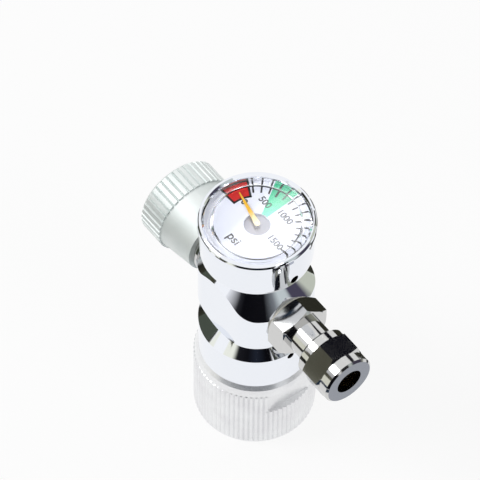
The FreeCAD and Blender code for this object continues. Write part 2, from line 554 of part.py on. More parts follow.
def make_movement():
    """Bourdon tube, link, sector and pinion between two plates, hairspring and pointer."""
    pivot_y = f"(0 - {SPREAD})"
    play = "(pivot_r + pivot_play)"

    def plate(name, low):
        body = new_body(name)

        def draw(sketch):
            outline(sketch, [("plate_half", f"{pivot_y} - plate_over"), ("plate_half", "plate_half"),
                             ("0 - plate_half", "plate_half"), ("0 - plate_half", f"{pivot_y} - plate_over")])
            circle(sketch, "0", "0", play)
            circle(sketch, "0", pivot_y, play)
        pad(body, "XY_Plane", low, "plate_thick", draw)

    plate("lower_plate", BLOCK_TOP)
    plate("upper_plate", UPPER_PLATE)
    pillars = new_body("plate_pillars")
    for side in ("", "0 - "):
        reach = f"{side}(plate_half - pillar_r)"
        pad(pillars, "XY_Plane", f"{BLOCK_TOP} + plate_thick", "plate_room",
            lambda sketch: circle(sketch, reach, "plate_half - pillar_r", "pillar_r"))

    def toothed(body, radius, teeth, angle, cut_count, sweep):
        """Gaps between teeth, cut as one gap and repeated. The gap is wider at the tips."""
        half = f"(90 / {teeth} * (1 + gear_slack))"
        tip = f"({radius} + gap_over * gear_module)"
        root = f"({radius} - gap_deep * gear_module)"

        def gap(sketch):
            corners = []
            for reach, share in ((root, -0.45), (tip, -1.75), (tip, 1.75), (root, 0.45)):
                turned = f"({angle} + {share} * {half})"
                corners.append((f"{reach} * cos({turned})", f"{reach} * sin({turned})"))
            outline(sketch, corners)
        feature = pocket(body, "XY_Plane", f"{GEAR_Z} + gear_thick", "gear_thick", gap)
        repeat(body, feature, "Z_Axis", cut_count, sweep)

    pinion = new_body("pinion_arbor")
    turn(pinion, "upright", [
        ("0", BLOCK_TOP), ("pivot_r", BLOCK_TOP), ("pivot_r", f"{BLOCK_TOP} + plate_thick"),
        ("arbor_r", f"{BLOCK_TOP} + plate_thick"), ("arbor_r", GEAR_Z),
        (f"{PINION_R} + gear_module", GEAR_Z), (f"{PINION_R} + gear_module", f"{GEAR_Z} + gear_thick"),
        ("arbor_r", f"{GEAR_Z} + gear_thick"), ("arbor_r", UPPER_PLATE), ("pivot_r", UPPER_PLATE),
        ("pivot_r", f"{DIAL_TOP} + pointer_lift"), ("0", f"{DIAL_TOP} + pointer_lift")])
    toothed(pinion, PINION_R, "pinion_teeth", "0 - 90", "pinion_teeth", "360")

    # The sector is drawn about its own pivot, turned back to where the pointer is at zero.
    sector = new_body("sector_gear")
    bind(sector, "Placement.Base.y", pivot_y)
    reach = f"({SECTOR_R} + gear_module)"
    pitch = "(360 / sector_teeth)"
    first = f"(90 + 0.5 * {pitch})"
    last = f"({first} - {pitch} * (sector_cut - 1))"

    def sector_plan(sketch):
        low, high = f"({last} - 0.7 * {pitch})", f"({first} + 0.7 * {pitch})"
        outline(sketch, [
            (f"{reach} * cos({low})", f"{reach} * sin({low})"),
            (f"{reach} * cos({high})", f"{reach} * sin({high})", reach, 1),
            ("0 - 1.8 * pivot_r", "0"), ("0 - 0.8 * tail_reach", "0 - 0.7 * tail_reach"),
            ("0 - 0.35 * tail_reach", "0 - tail_reach"), ("1.8 * pivot_r", "0")])
    pad(sector, "XY_Plane", GEAR_Z, "gear_thick", sector_plan)
    turn(sector, "upright", [
        ("0", BLOCK_TOP), ("pivot_r", BLOCK_TOP), ("pivot_r", f"{BLOCK_TOP} + plate_thick"),
        ("1.6 * pivot_r", f"{BLOCK_TOP} + plate_thick"), ("1.6 * pivot_r", UPPER_PLATE),
        ("pivot_r", UPPER_PLATE), ("pivot_r", f"{UPPER_PLATE} + plate_thick"),
        ("0", f"{UPPER_PLATE} + plate_thick")])
    toothed(sector, SECTOR_R, "sector_teeth", last, "sector_cut", f"{pitch} * (sector_cut - 1)")

    arm = new_body("link")
    tail_y = f"({pivot_y} - tail_reach)"
    far_x = "(tube_r * cos(tube_start - tube_sweep))"
    near_x, end_r = "(0 - 0.35 * tail_reach)", "1.02 * link_half"
    pad(arm, "XY_Plane", f"{GEAR_Z} - link_thick - 2 * pivot_play", "link_thick", lambda sketch: outline(
        sketch, [(near_x, f"{tail_y} + link_half", end_r, -1), (far_x, f"{tail_y} + link_half"),
                 (far_x, f"{tail_y} - link_half", end_r, -1), (near_x, f"{tail_y} - link_half")]))

    tube = new_body("bourdon_tube")
    bind(tube, "Placement.Rotation.Angle", "tube_start")
    low, high = f"({TUBE_Z} - 0.5 * tube_tall + tube_half)", f"({TUBE_Z} + 0.5 * tube_tall - tube_half)"

    def oval(sketch, half):
        outline(sketch, [
            (f"tube_r + {half}", high), (f"tube_r + 0.5 * {half}", f"{high} + {half}"),
            (f"tube_r - 0.5 * {half}", f"{high} + {half}"), (f"tube_r - {half}", high),
            (f"tube_r - {half}", low), (f"tube_r - 0.5 * {half}", f"{low} - {half}"),
            (f"tube_r + 0.5 * {half}", f"{low} - {half}"), (f"tube_r + {half}", low)])
    sketch = new_sketch(tube, "XZ_Plane")
    oval(sketch, "tube_half")
    oval(sketch, "(tube_half - tube_wall)")
    feature = tube.newObject("PartDesign::Revolution", "tube_turned")
    feature.Profile = sketch
    feature.ReferenceAxis = (sketch, ["V_Axis"])
    feature.Reversed = True
    bind(feature, "Angle", "tube_sweep")
    finish(tube, feature, 0, False)

    tip = new_body("bourdon_tip")
    pad(tip, "XY_Plane", f"{TUBE_Z} - 0.5 * tube_tall", "tube_tall", lambda sketch: outline(
        sketch, turned_box("(tube_start - tube_sweep)", "tube_r - tube_half", "tube_r + tube_half",
                           "0 - tip_long", "0")))

    posts = new_body("dial_posts")
    for side in ("", "0 - "):
        pad(posts, "XY_Plane", f"{UPPER_PLATE} + plate_thick", f"{BACKING_LOW} - {UPPER_PLATE} - plate_thick",
            lambda sketch: circle(sketch, f"{side}post_off", "0", "post_r"))

    # The hairspring is a flat spiral strip round the arbor.
    r, step, w = value("hair_r"), value("hair_pitch"), value("hair_wire") / 2
    turns = [index / 16 for index in range(int(value("hair_turns") * 16) + 1)]

    def strip(offset):
        return [FreeCAD.Vector((r + step * at + offset) * math.cos(2 * math.pi * at),
                               (r + step * at + offset) * math.sin(2 * math.pi * at), 0) for at in turns]
    rim = strip(w) + strip(-w)[::-1]
    face = Part.Face(Part.makePolygon(rim + rim[:1]))
    hair = doc.addObject("Part::Feature", "hairspring")
    hair.Label = "hairspring"
    hair.Shape = face.extrude(FreeCAD.Vector(0, 0, value("hair_tall")))
    lift = value(f"{LIFT} + {GEAR_Z} + gear_thick + hair_lift")
    hair.Placement = FreeCAD.Placement(FreeCAD.Vector(0, 0, lift), FreeCAD.Rotation())


def make_pointer():
    """Tapered pointer with a round root, pressed on the arbor."""
    pointer = new_body("pointer")
    base = f"({DIAL_TOP} + pointer_lift)"
    turn(pointer, "upright", [
        ("0", base), ("pointer_root", base), ("pointer_root", f"{base} + pointer_thick"),
        ("0", f"{base} + pointer_thick")])

    def blade(sketch):
        root = turned_box("zero_angle", "0", "pointer_reach", "0 - pointer_root", "pointer_root")
        tip = turned_box("zero_angle", "0", "pointer_reach", "0 - pointer_tip", "pointer_tip")
        outline(sketch, [root[0], tip[1], tip[2], root[3]])
    pad(pointer, "XY_Plane", base, "pointer_thick", blade)


def coil(name, radius, wire, start, stop, turns):
    """A spring on the knob's axis, its wire in short straight runs, with square section."""
    r, w, first, last = value(radius), value(wire), value(start), value(stop)
    steps = int(value(turns) * 12)
    rise = (last - first - w) / steps
    spots = [FreeCAD.Vector(first + w / 2 + rise * step, r * math.cos(math.pi * step / 6),
                            r * math.sin(math.pi * step / 6)) for step in range(steps + 1)]
    path = Part.makePolygon(spots)
    ahead = spots[1] - spots[0]
    ahead.normalize()
    out = FreeCAD.Vector(0, 1, 0)
    side = ahead.cross(out)
    side.normalize()
    corners = [spots[0] + out * (a * w / 2) + side * (b * w / 2)
               for a, b in ((1, 1), (-1, 1), (-1, -1), (1, -1))]
    section = Part.makePolygon(corners + corners[:1])
    sweep = Part.BRepOffsetAPI.MakePipeShell(path)
    sweep.setFrenetMode(False)
    sweep.setTransitionMode(1)
    sweep.add(section)
    sweep.build()
    sweep.makeSolid()
    spring = doc.addObject("Part::Feature", name)
    spring.Label = name
    spring.Shape = sweep.shape()
    spring.Placement = FreeCAD.Placement(FreeCAD.Vector(0, 0, value(LIFT)), FreeCAD.Rotation())
    return spring


def make_bonnet():
    """Bonnet, adjusting screw, spring seat, springs, piston and valve on the knob's axis."""
    bonnet = new_body("bonnet")
    turn(bonnet, "knob", [
        (BONNET_IN, "bonnet_bore"), (BONNET_IN, "neck_r"), ("0 - flat_x", "neck_r"),
        ("0 - flat_x", "flange_r"), (FLANGE_X, "flange_r"), (FLANGE_X, "bonnet_r"),
        (BONNET_X, "bonnet_r"), (BONNET_X, "shaft_r + turn_play"), (WALL_X, "shaft_r + turn_play"),
        (WALL_X, "bonnet_bore")])
    key = "(bonnet_bore + key_high + key_play)"
    pocket(bonnet, "YZ_Plane", BONNET_IN, f"{BONNET_IN} - {WALL_X}", lambda sketch: outline(sketch, [
        ("key_half + key_play", "0.8 * bonnet_bore"), ("key_half + key_play", key),
        ("0 - key_half - key_play", key), ("0 - key_half - key_play", "0.8 * bonnet_bore")]))

    washer = new_body("thrust_washer")
    turn(washer, "knob", [(WALL_X, "shaft_r + turn_play"), (WALL_X, "washer_r"), (WASHER_X, "washer_r"),
                          (WASHER_X, "shaft_r + turn_play")])

    screw = new_body("adjusting_screw")
    turn(screw, "knob", [
        (f"{HEAD_X} + screw_long", "0"), (f"{HEAD_X} + screw_long", "shaft_r"), (HEAD_X, "shaft_r"),
        (HEAD_X, "screw_head_r"), (f"{WASHER_X} + slide_play", "screw_head_r"),
        (f"{WASHER_X} + slide_play", "shaft_r"), (SCREW_X, "shaft_r"), (SCREW_X, "knob_thread_r"),
        (f"{RECESS_X} + knob_thread", "knob_thread_r"), (f"{RECESS_X} + knob_thread", "0")])

    seat = new_body("spring_seat")
    turn(seat, "knob", [
        (f"{NUT_X} - seat_nut", "shaft_r + slide_play"), (f"{NUT_X} - seat_nut", "bonnet_bore - slide_play"),
        (NUT_X, "bonnet_bore - slide_play"), (NUT_X, "shaft_r + slide_play")])
    pad(seat, "YZ_Plane", f"{NUT_X} - seat_nut", "seat_nut", lambda sketch: outline(sketch, [
        ("key_half", "0.8 * bonnet_bore"), ("key_half", "bonnet_bore + key_high"),
        ("0 - key_half", "bonnet_bore + key_high"), ("0 - key_half", "0.8 * bonnet_bore")]))

    piston = new_body("piston")
    back = "(piston_bore - slide_play)"
    ring = f"({PISTON_BACK} + 0.5 * piston_long)"
    turn(piston, "knob", [
        (f"{SEAT_X} - pin_gap", "0"), (f"{SEAT_X} - pin_gap", "pin_r"), (PISTON_X, "pin_r"),
        (PISTON_X, back), (f"{ring} + 0.5 * ring_wire", back),
        (f"{ring} + 0.5 * ring_wire", f"{back} - ring_wire"),
        (f"{ring} - 0.5 * ring_wire", f"{back} - ring_wire"),
        (f"{ring} - 0.5 * ring_wire", back), (PISTON_BACK, back), (PISTON_BACK, "pilot_r"),
        (f"{PISTON_BACK} - pilot_long", "pilot_r"), (f"{PISTON_BACK} - pilot_long", "0")])
    seal = new_body("piston_ring")
    turn(seal, "knob", [
        (f"{ring} + 0.5 * ring_wire", f"{back} - ring_wire"), (f"{ring} + 0.5 * ring_wire", f"{back}"),
        (f"{ring} - 0.5 * ring_wire", back), (f"{ring} - 0.5 * ring_wire", f"{back} - ring_wire")])

    valve_seat = new_body("valve_seat")
    turn(valve_seat, "knob", [("0 - chamber_x", "seat_hole"), ("0 - chamber_x", "seat_r"), (SEAT_X, "seat_r"),
                              (SEAT_X, "seat_hole")])

    poppet = new_body("poppet")
    head = f"({SEAT_X} + poppet_thick)"
    turn(poppet, "knob", [
        (SEAT_X, "disc_r"), (SEAT_X, "poppet_r"), (head, "poppet_r"), (head, "poppet_stem"),
        (f"{head} + poppet_tail", "poppet_stem"), (f"{head} + poppet_tail", "0"),
        (f"{SEAT_X} + disc_thick", "0"), (f"{SEAT_X} + disc_thick", "disc_r")])
    disc = new_body("poppet_disc")
    turn(disc, "knob", [(SEAT_X, "0"), (SEAT_X, "disc_r"), (f"{SEAT_X} + disc_thick", "disc_r"),
                        (f"{SEAT_X} + disc_thick", "0")])


def make_springs():
    coil("main_spring", "spring_r", "spring_wire",
         f"{NUT_X} + spring_play", f"{PISTON_BACK} - spring_play", "spring_turns")
    coil("poppet_spring", "small_r", "small_wire",
         f"{SEAT_X} + poppet_thick + spring_play", f"{VALVE_X} - spring_play",
         "small_turns")


def make_knob():
    """Knob: a tapered skirt and a band of flat lands between narrow grooves."""
    knob = new_body("adjusting_knob")
    turn(knob, "knob", [
        (KNOB_X, "bonnet_r + turn_play"), (KNOB_X, "knob_low_r"), (BAND_X, "knob_high_r"), (BAND_X, "band_r"),
        (f"{KNOB_END} + band_chamfer", "band_r"), (KNOB_END, "band_r - band_chamfer"),
        (KNOB_END, "recess_r"), (RECESS_X, "recess_r"), (RECESS_X, "knob_thread_r"),
        (SCREW_X, "knob_thread_r"),
        (SCREW_X, "shaft_r"), (KNOB_WALL, "shaft_r"), (KNOB_WALL, "bonnet_r + turn_play")])
    half = "(pi * band_r / band_lands * land_gap)"
    groove = pocket(knob, "YZ_Plane", BAND_X, f"{BAND_X} - {KNOB_END}", lambda sketch: outline(sketch, [
        ("0", "band_r - land_cut"), (half, "band_r + 0.1 * land_cut"),
        (f"0 - {half}", "band_r + 0.1 * land_cut")]))
    repeat(knob, groove, "X_Axis", "band_lands")

    screw = new_body("knob_screw")
    turn(screw, "knob", [
        (f"{RECESS_X} + knob_thread", "0"), (f"{RECESS_X} + knob_thread", "knob_thread_r"),
        (RECESS_X, "knob_thread_r"), (RECESS_X, "knob_screw_r"),
        (f"{RECESS_X} - knob_screw_tall", "knob_screw_r"),
        (f"{RECESS_X} - knob_screw_tall", "0")])
    pocket(screw, "YZ_Plane", f"{RECESS_X} - knob_screw_tall + driver_deep", "driver_deep",
           lambda sketch: hexagon(sketch, "driver_flats", "0"))


def make_outlet():
    """Nipple with its seal, ferrule and compression nut."""
    seal = new_body("outlet_seal")
    turn(seal, "knob", [("flat_x", "port_r"), ("flat_x", "seal_r"), (HEX_X, "seal_r"), (HEX_X, "port_r")])

    blank = "(outlet_flats / sqrt(3))"
    edge = f"({blank} - 0.5 * outlet_flats)"
    nipple = new_body("outlet_nipple")
    turn(nipple, "knob", [
        (f"{PORT_X} + thread_end", "outlet_bore"), (f"{PORT_X} + thread_end", "port_r"), (HEX_X, "port_r"),
        (HEX_X, "0.5 * outlet_flats"), (f"{HEX_X} + 0.5 * {edge}", blank),
        (f"{NECK_X} - 0.5 * {edge}", blank),
        (NECK_X, "0.5 * outlet_flats"), (NECK_X, "outlet_neck_r"), (NECK_END, "outlet_neck_r"),
        (NECK_END, "mouth_r"), (f"{NECK_END} - mouth_deep", "tube_socket_r"),
        (f"{NECK_END} - tube_socket", "tube_socket_r"), (f"{NECK_END} - tube_socket", "outlet_bore")])
    hexed(nipple, "YZ_Plane", NECK_X, "hex_long", "outlet_flats", "hex_turn", "block_r")

    thread = "(outlet_neck_r + turn_play)"
    inner = f"({OUTLET_END} - comp_wall)"
    nut = new_body("compression_nut")
    turn(nut, "knob", [
        (COMP_X, thread), (COMP_X, "comp_round_r - comp_edge"), (f"{COMP_X} + comp_edge", "comp_round_r"),
        (COMP_HEX_X, "comp_round_r"), (f"{COMP_HEX_X} + 0.5 * {edge}", blank),
        (f"{NOSE_X} - 0.5 * {edge}", blank),
        (NOSE_X, "comp_nose_r"), (f"{OUTLET_END} - comp_edge", "comp_nose_r"),
        (OUTLET_END, "comp_nose_r - comp_edge"), (OUTLET_END, "comp_hole"), (inner, "comp_hole"),
        (f"{inner} - {thread} + comp_hole", thread)])
    hexed(nut, "YZ_Plane", NOSE_X, "comp_hex", "outlet_flats", "comp_turn", "block_r")

    ferrule = new_body("ferrule")
    front = f"({NECK_END} + turn_play)"
    turn(ferrule, "knob", [
        (f"{front} - mouth_deep", "ferrule_in"), (front, "ferrule_r"),
        (f"{front} + ferrule_flat", "ferrule_r"),
        (f"{front} + ferrule_flat + ferrule_r - ferrule_in", "ferrule_in")])


def make_inlet():
    """Hand nut, the stem it turns on, washer and filter."""
    nut = new_body("hand_nut")
    hole = "(stem_r + stem_play)"
    turn(nut, "upright", [
        (hole, WEB_LOW), ("relief_r", WEB_LOW), ("relief_r", f"{NUT_END} + valve_thread"),
        ("valve_thread_r", f"{NUT_END} + valve_thread"), ("valve_thread_r", NUT_END),
        ("nut_foot_r", NUT_END), ("nut_r", f"{NUT_END} + nut_foot"), ("nut_r", KNURL_TOP),
        ("nut_shoulder_r", KNURL_TOP),
        ("nut_shoulder_r - 0.1 * nut_swell", f"{KNURL_TOP} + 0.3 * nut_shoulder"),
        ("nut_shoulder_r - 0.4 * nut_swell", f"{KNURL_TOP} + 0.65 * nut_shoulder"),
        ("nut_shoulder_r - nut_swell", NUT_TOP), (hole, NUT_TOP)])
    half = "(pi * nut_r / nut_ridges * ridge_gap)"
    groove = pocket(nut, "XY_Plane", KNURL_TOP, f"{KNURL_TOP} - {NUT_END}", lambda sketch: outline(sketch, [
        ("nut_r - ridge_cut", "0"), ("nut_r + 0.1 * ridge_cut", half),
        ("nut_r + 0.1 * ridge_cut", f"0 - {half}")]))
    repeat(nut, groove, "Z_Axis", "nut_ridges")

    def flats(sketch):
        for side in ("", "0 - "):
            near, far = f"{side}wrench_x", f"{side}(nut_r + cut_over)"
            outline(sketch, [(near, "0 - nut_r"), (far, "0 - nut_r"), (far, "nut_r"), (near, "nut_r")])
    pocket(nut, "XY_Plane", KNURL_TOP, "wrench_tall", flats)

    stem = new_body("inlet_stem")
    turn(stem, "upright", [
        ("stem_bore", f"{SOCKET_TOP} - thread_end"), ("stem_bore", f"{HEAD_LOW} - stem_nose + filter_thick"),
        ("filter_r", f"{HEAD_LOW} - stem_nose + filter_thick"), ("filter_r", f"{HEAD_LOW} - stem_nose"),
        ("stem_nose_r", f"{HEAD_LOW} - stem_nose"), ("stem_nose_r", HEAD_LOW), ("stem_head_r", HEAD_LOW),
        ("stem_head_r", HEAD_TOP), ("stem_r", HEAD_TOP), ("stem_r", COLLAR_END), ("socket_r", COLLAR_END),
        ("socket_r", f"{SOCKET_TOP} - thread_end")])

    seal = new_body("stem_seal")
    turn(seal, "upright", [
        ("passage_r", f"{SOCKET_TOP} - thread_end"), ("socket_r", f"{SOCKET_TOP} - thread_end"),
        ("socket_r", SOCKET_TOP), ("passage_r", SOCKET_TOP)])

    washer = new_body("inlet_washer")
    turn(washer, "upright", [
        ("stem_nose_r", HEAD_LOW), ("inlet_washer_r", HEAD_LOW),
        ("inlet_washer_r", f"{HEAD_LOW} - inlet_washer"),
        ("stem_nose_r", f"{HEAD_LOW} - inlet_washer")])
    sieve = new_body("inlet_filter")
    turn(sieve, "upright", [
        ("0", f"{HEAD_LOW} - stem_nose"), ("filter_r", f"{HEAD_LOW} - stem_nose"),
        ("filter_r", f"{HEAD_LOW} - stem_nose + filter_thick"),
        ("0", f"{HEAD_LOW} - stem_nose + filter_thick")])


make_body()
make_gauge()
make_movement()
make_pointer()
make_bonnet()
make_springs()
make_knob()
make_outlet()
make_inlet()

doc.recompute()
for item in doc.Objects:
    if "Invalid" in item.State or "Error" in item.State:
        raise RuntimeError(f"{item.Name}: {item.State}")
pieces = [item for item in doc.Objects if item.TypeId in ("PartDesign::Body", "Part::Feature")]
for piece in pieces:
    if piece.Shape.isNull() or not piece.Shape.isValid():
        raise RuntimeError(f"{piece.Label} is not a valid solid")
for piece in pieces:
    piece.Shape.exportStep(f"parts/{piece.Label}.step")
    print(piece.Label, len(piece.Shape.Solids), round(piece.Shape.Volume, 2))
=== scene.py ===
import bmesh
import bpy
import math
from mathutils import Matrix, Vector


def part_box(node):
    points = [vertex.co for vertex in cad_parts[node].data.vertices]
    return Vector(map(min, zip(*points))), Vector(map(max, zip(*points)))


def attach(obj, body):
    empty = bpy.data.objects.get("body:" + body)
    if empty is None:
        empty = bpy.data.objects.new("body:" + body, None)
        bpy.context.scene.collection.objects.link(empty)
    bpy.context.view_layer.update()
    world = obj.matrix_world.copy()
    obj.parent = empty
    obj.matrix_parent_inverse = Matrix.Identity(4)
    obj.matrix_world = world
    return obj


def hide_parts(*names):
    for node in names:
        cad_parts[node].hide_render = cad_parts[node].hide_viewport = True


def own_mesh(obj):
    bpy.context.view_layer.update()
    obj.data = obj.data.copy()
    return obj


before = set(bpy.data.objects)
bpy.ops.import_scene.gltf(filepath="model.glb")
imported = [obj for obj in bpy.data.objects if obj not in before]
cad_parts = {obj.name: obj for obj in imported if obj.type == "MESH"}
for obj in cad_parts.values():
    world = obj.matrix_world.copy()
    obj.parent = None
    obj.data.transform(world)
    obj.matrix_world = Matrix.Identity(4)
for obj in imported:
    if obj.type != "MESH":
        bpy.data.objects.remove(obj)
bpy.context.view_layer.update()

# The body is one turned brass forging with milled sides and ends, polished and chromium plated.
# The knob's axis runs along X at the height where the outlet leaves it. The gauge stands on top.
nipple_low, nipple_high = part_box("outlet_nipple")
AXIS_HEIGHT = (nipple_low.z + nipple_high.z) / 2


def colour(code):
    """An sRGB hex code as linear red, green, blue and alpha."""
    parts = [int(code[at:at + 2], 16) / 255 for at in (1, 3, 5)]
    linear = [part / 12.92 if part <= 0.04045 else ((part + 0.055) / 1.055) ** 2.4
              for part in parts]
    return (*linear, 1.0)


def add_node(tree, kind, settings=None, **links):
    """Adds one node. settings holds its own fields, or input values by name; links joins sockets.

    A link is named for its input, with _ for a space, or with _ and a number for its place.
    """
    node = tree.nodes.new(kind)
    for name, value in (settings or {}).items():
        if name in node.inputs:
            node.inputs[name].default_value = value
        else:
            setattr(node, name, value)
    for name, source in links.items():
        socket = int(name[1:]) if name[1:].isdigit() else name.replace("_", " ")
        tree.links.new(source, node.inputs[socket])
    return node


def new_material(name):
    material = bpy.data.materials.new(name)
    material.use_nodes = True
    material.node_tree.nodes.clear()
    return material, material.node_tree


def dress(material, *nodes):
    """Puts a material on the slots of the CAD nodes named."""
    for name in nodes:
        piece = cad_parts[name]
        if not piece.material_slots:
            piece.data.materials.append(material)
        for slot in piece.material_slots:
            slot.material = material


HAZE_MM, WAVE_HEIGHT = 4.0, 0.0002
CLEANER, DULLER = 0.7, 1.4


def plated(name, code, roughness, wave_mm, wave):
    """Bright metal: a mirror with faint waves from polishing, and patches a little less clear."""
    material, tree = new_material(name)
    place = add_node(tree, "ShaderNodeTexCoord")
    waves = add_node(tree, "ShaderNodeTexNoise", {"Scale": 1000 / wave_mm, "Detail": 2.0},
                     Vector=place.outputs["Object"])
    bump = add_node(tree, "ShaderNodeBump", {"Strength": wave, "Distance": WAVE_HEIGHT},
                    Height=waves.outputs["Fac"])
    haze = add_node(tree, "ShaderNodeTexNoise", {"Scale": 1000 / HAZE_MM, "Detail": 4.0},
                    Vector=place.outputs["Object"])
    rough = add_node(tree, "ShaderNodeMapRange",
                     {"To Min": roughness * CLEANER, "To Max": roughness * DULLER},
                     Value=haze.outputs["Fac"])
    shader = add_node(tree, "ShaderNodeBsdfPrincipled",
                      {"Base Color": colour(code), "Metallic": 1.0},
                      Roughness=rough.outputs["Result"], Normal=bump.outputs["Normal"])
    add_node(tree, "ShaderNodeOutputMaterial", Surface=shader.outputs["BSDF"])
    return material


chromium_plate = plated("chromium_plate", "#EFF2F8", 0.05, 6.0, 0.03)
dress(chromium_plate, "body")

# The hand nut and the adjusting knob are turned from aluminium bar, knurled with straight ridges,
# blasted fine and clear anodised, which leaves a pale satin skin with faint turning rings. Rings
# and grit are drawn coarser than they are, so that they show.
GRIT_MM, CLOUD_MM, RING_MM = 0.11, 5.5, 0.35
GRIT_HEIGHT, GRIT_BUMP, RING_SHARE = 0.00005, 0.12, 0.35
FILM_METAL = 0.85


def satin_aluminium(name, axis, smooth, coarse, dull, pale):
    """Anodised aluminium with rings round an axis, between two roughnesses and two tones."""
    material, tree = new_material(name)
    place = add_node(tree, "ShaderNodeTexCoord")
    grain = add_node(tree, "ShaderNodeTexNoise", {"Scale": 1000 / GRIT_MM, "Detail": 3.0},
                     Vector=place.outputs["Object"])
    cloud = add_node(tree, "ShaderNodeTexNoise", {"Scale": 1000 / CLOUD_MM, "Detail": 3.0},
                     Vector=place.outputs["Object"])
    rings = add_node(tree, "ShaderNodeTexWave",
                     {"bands_direction": axis, "Scale": 100 * math.pi / RING_MM,
                      "Distortion": 0.6, "Detail": 2.0}, Vector=place.outputs["Object"])
    tone = add_node(tree, "ShaderNodeValToRGB", Fac=cloud.outputs["Fac"])
    for stop, at, code in zip(tone.color_ramp.elements, (0.3, 0.7), (dull, pale)):
        stop.position = at
        stop.color = colour(code)
    height = add_node(tree, "ShaderNodeMix", {"data_type": "FLOAT", "Factor": RING_SHARE},
                      _2=grain.outputs["Fac"], _3=rings.outputs["Fac"])
    bump = add_node(tree, "ShaderNodeBump", {"Strength": GRIT_BUMP, "Distance": GRIT_HEIGHT},
                    Height=height.outputs["Result"])
    rough = add_node(tree, "ShaderNodeMapRange", {"To Min": smooth, "To Max": coarse},
                     Value=grain.outputs["Fac"])
    shader = add_node(tree, "ShaderNodeBsdfPrincipled", {"Metallic": FILM_METAL},
                      Base_Color=tone.outputs["Color"], Roughness=rough.outputs["Result"],
                      Normal=bump.outputs["Normal"])
    add_node(tree, "ShaderNodeOutputMaterial", Surface=shader.outputs["BSDF"])
    return material


dress(satin_aluminium("anodised_aluminium_nut", "Z", 0.24, 0.32, "#E9E9EB", "#F3F4F5"), "hand_nut")
dress(satin_aluminium("anodised_aluminium_knob", "X", 0.55, 0.65, "#DEE4E3", "#E8ECEB"),
      "adjusting_knob")

# The outlet's nipple and compression nut are turned from hexagon brass bar and bright nickel
# plated, a little warmer and softer than chromium. The bonnet and the gauge's shank are plated too.
nickel_plate = plated("nickel_plate", "#CFCFCE", 0.09, 3.0, 0.05)
dress(nickel_plate, "outlet_nipple", "compression_nut", "bonnet", "gauge_shank")

# Inside pieces are turned or blanked brass, left bright from the tool, which is warm and a little
# dull. The gauge's movement is held between two such plates.
brass = plated("turned_brass", "#C9A86A", 0.25, 1.0, 0.1)
dress(brass, "inlet_stem", "inlet_filter", "valve_seat", "poppet", "piston", "spring_seat",
      "ferrule", "lower_plate", "upper_plate", "plate_pillars", "sector_gear", "bourdon_tube",
      "bourdon_tip", "dial_posts", "hairspring")

# Screws, washer, link and springs are bright steel with a fine turned or drawn skin. The dial's
# backing and the pinion are sheared and cut from a darker steel and left as they are.
steel = plated("turned_steel", "#A8A8AA", 0.3, 1.0, 0.1)
dress(steel, "link", "thrust_washer", "adjusting_screw", "knob_screw", "main_spring",
      "poppet_spring")
dress(plated("sheared_steel", "#A4A4B0", 0.35, 1.0, 0.1), "dial_backing", "pinion_arbor")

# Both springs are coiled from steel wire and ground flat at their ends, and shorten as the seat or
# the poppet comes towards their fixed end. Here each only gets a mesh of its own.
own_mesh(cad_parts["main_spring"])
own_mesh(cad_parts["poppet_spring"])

# Washers and seals are punched from nylon sheet, milky and slightly glossy. The piston's ring is
# moulded nitrile rubber, black and dull.
TOOTH_MM, TOOTH_HEIGHT, TOOTH_BUMP = 0.25, 0.00005, 0.1


def moulded(name, code, roughness):
    """A plain plastic, rubber, enamel or ink with a faint uneven skin."""
    material, tree = new_material(name)
    place = add_node(tree, "ShaderNodeTexCoord")
    grain = add_node(tree, "ShaderNodeTexNoise", {"Scale": 1000 / TOOTH_MM, "Detail": 2.0},
                     Vector=place.outputs["Object"])
    bump = add_node(tree, "ShaderNodeBump", {"Strength": TOOTH_BUMP, "Distance": TOOTH_HEIGHT},
                    Height=grain.outputs["Fac"])
    shader = add_node(tree, "ShaderNodeBsdfPrincipled",
                      {"Base Color": colour(code), "Roughness": roughness},
                      Normal=bump.outputs["Normal"])
    add_node(tree, "ShaderNodeOutputMaterial", Surface=shader.outputs["BSDF"])
    return material


nylon = moulded("punched_nylon", "#E8E4D8", 0.4)
dress(nylon, "inlet_washer", "outlet_seal", "poppet_disc", "gauge_seal", "stem_seal")
dress(moulded("nitrile_rubber", "#181818", 0.6), "piston_ring")

# The gauge's case is drawn from steel sheet, its spacer rolled from strip and its bezel rolled over
# the lens. All three are chromium plated.
dress(chromium_plate, "gauge_case", "gauge_bezel", "gauge_spacer")

# The dial is a steel plate in white enamel, pad printed in black, red and green. The print is a
# film of ink a few hundredths of a millimetre thick, so each mark is a thin raised shape.
dress(moulded("white_enamel", "#E6EAF8", 0.35), "gauge_dial")
dial_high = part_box("gauge_dial")[1]
INK_THICK = 0.00002
black_ink = moulded("black_pad_ink", "#17171B", 0.5)
red_ink = moulded("red_pad_ink", "#C80F08", 0.45)
ZERO_ANGLE, PER_HUNDRED = 171.0, -11.35
SCALE_NEAR, SCALE_FAR = 0.0080, 0.0119


def on_dial(reach, angle):
    """A spot on the ink, at a distance and an angle in degrees round the dial's middle."""
    return Vector((reach * math.cos(math.radians(angle)), reach * math.sin(math.radians(angle)),
                   dial_high.z + INK_THICK))


def make_piece(name, mesh, material):
    """Makes an object at the origin from a finished bmesh."""
    data = bpy.data.meshes.new(name)
    mesh.to_mesh(data)
    mesh.free()
    data.materials.append(material)
    piece = bpy.data.objects.new(name, data)
    bpy.context.collection.objects.link(piece)
    return piece


def printed(name, mesh, material):
    """Finishes a flat mesh as a film of ink on the dial, facing up."""
    bmesh.ops.recalc_face_normals(mesh, faces=mesh.faces)
    if sum(face.normal.z for face in mesh.faces) < 0:
        bmesh.ops.reverse_faces(mesh, faces=mesh.faces)
    piece = make_piece(name, mesh, material)
    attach(piece, "regulator")


